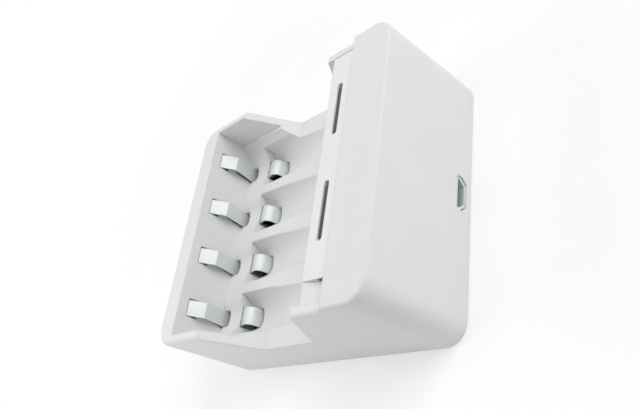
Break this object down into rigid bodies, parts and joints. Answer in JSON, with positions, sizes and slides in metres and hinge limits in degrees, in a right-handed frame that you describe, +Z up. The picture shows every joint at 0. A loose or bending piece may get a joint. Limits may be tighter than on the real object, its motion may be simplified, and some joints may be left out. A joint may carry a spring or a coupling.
{
  "type": "aa battery charger",
  "caption": "Compact flat charger with side-by-side cell troughs, slanted channels for the smaller cell size, spring leaf contacts, an indicator bar on the raised head and a USB inlet.",
  "frame": {"origin": "middle of the back, on the surface it lies on", "axes": "+X across the bays, +Y from the spring contacts to the head, +Z up out of the bays"},
  "size_m": [0.066, 0.0778, 0.0306],
  "materials": {
    "white_plastic": "fine matt moulded",
    "white_bar": "satin",
    "smoked_guide": "satin smoked",
    "nickel_strip": "nickel-plated spring strip",
    "plated_steel": "pressed and plated",
    "circuit_board": "solder mask",
    "dark_plastic": "moulded",
    "lamp": "clear",
    "ferrite": "sintered",
    "capacitor_can": "drawn can",
    "lead_sleeve": "matt sleeve",
    "screw_steel": "zinc plated"
  },
  "bodies": {
    "charger": {"housing": "white_plastic", "bottom_cover": "white_plastic", "indicator_bar": "white_bar", "light_guide_left": "smoked_guide", "light_guide_right": "smoked_guide", "contact_board": "circuit_board", "main_board": "circuit_board", "usb_shell": "plated_steel", "usb_tongue": "dark_plastic", "indicator_leds": "lamp", "controller_chip": "dark_plastic", "power_inductor": "ferrite", "filter_capacitors": "capacitor_can", "charge_transistors": "dark_plastic", "ground_lead": "lead_sleeve", "cover_screws": "screw_steel", "board_screws": "screw_steel", "positive_contact_1": "nickel_strip", "positive_contact_2": "nickel_strip", "positive_contact_3": "nickel_strip", "positive_contact_4": "nickel_strip"},
    "aa_leaf_1": {"aa_contact_1": "nickel_strip"},
    "aaa_leaf_1": {"aaa_contact_1": "nickel_strip"},
    "aa_leaf_2": {"aa_contact_2": "nickel_strip"},
    "aaa_leaf_2": {"aaa_contact_2": "nickel_strip"},
    "aa_leaf_3": {"aa_contact_3": "nickel_strip"},
    "aaa_leaf_3": {"aaa_contact_3": "nickel_strip"},
    "aa_leaf_4": {"aa_contact_4": "nickel_strip"},
    "aaa_leaf_4": {"aaa_contact_4": "nickel_strip"}
  },
  "joints": [
    {"name": "aa_press_1", "type": "hinge", "parent": "charger", "child": "aa_leaf_1", "pos_m": [-0.0225, -0.03145, 0.0038], "axis": [1, 0, 0], "range_deg": [0, 3.5], "stiffness_Nm_per_rad": 0.4},
    {"name": "aaa_press_1", "type": "hinge", "parent": "charger", "child": "aaa_leaf_1", "pos_m": [-0.0225, -0.02005, 0.0038], "axis": [1, 0, 0], "range_deg": [0, 34], "stiffness_Nm_per_rad": 0.06},
    {"name": "aa_press_2", "type": "hinge", "parent": "charger", "child": "aa_leaf_2", "pos_m": [-0.0075, -0.03145, 0.0038], "axis": [1, 0, 0], "range_deg": [0, 3.5], "stiffness_Nm_per_rad": 0.4},
    {"name": "aaa_press_2", "type": "hinge", "parent": "charger", "child": "aaa_leaf_2", "pos_m": [-0.0075, -0.02005, 0.0038], "axis": [1, 0, 0], "range_deg": [0, 34], "stiffness_Nm_per_rad": 0.06},
    {"name": "aa_press_3", "type": "hinge", "parent": "charger", "child": "aa_leaf_3", "pos_m": [0.0075, -0.03145, 0.0038], "axis": [1, 0, 0], "range_deg": [0, 3.5], "stiffness_Nm_per_rad": 0.4},
    {"name": "aaa_press_3", "type": "hinge", "parent": "charger", "child": "aaa_leaf_3", "pos_m": [0.0075, -0.02005, 0.0038], "axis": [1, 0, 0], "range_deg": [0, 34], "stiffness_Nm_per_rad": 0.06},
    {"name": "aa_press_4", "type": "hinge", "parent": "charger", "child": "aa_leaf_4", "pos_m": [0.0225, -0.03145, 0.0038], "axis": [1, 0, 0], "range_deg": [0, 3.5], "stiffness_Nm_per_rad": 0.4},
    {"name": "aaa_press_4", "type": "hinge", "parent": "charger", "child": "aaa_leaf_4", "pos_m": [0.0225, -0.02005, 0.0038], "axis": [1, 0, 0], "range_deg": [0, 34], "stiffness_Nm_per_rad": 0.06}
  ]
}
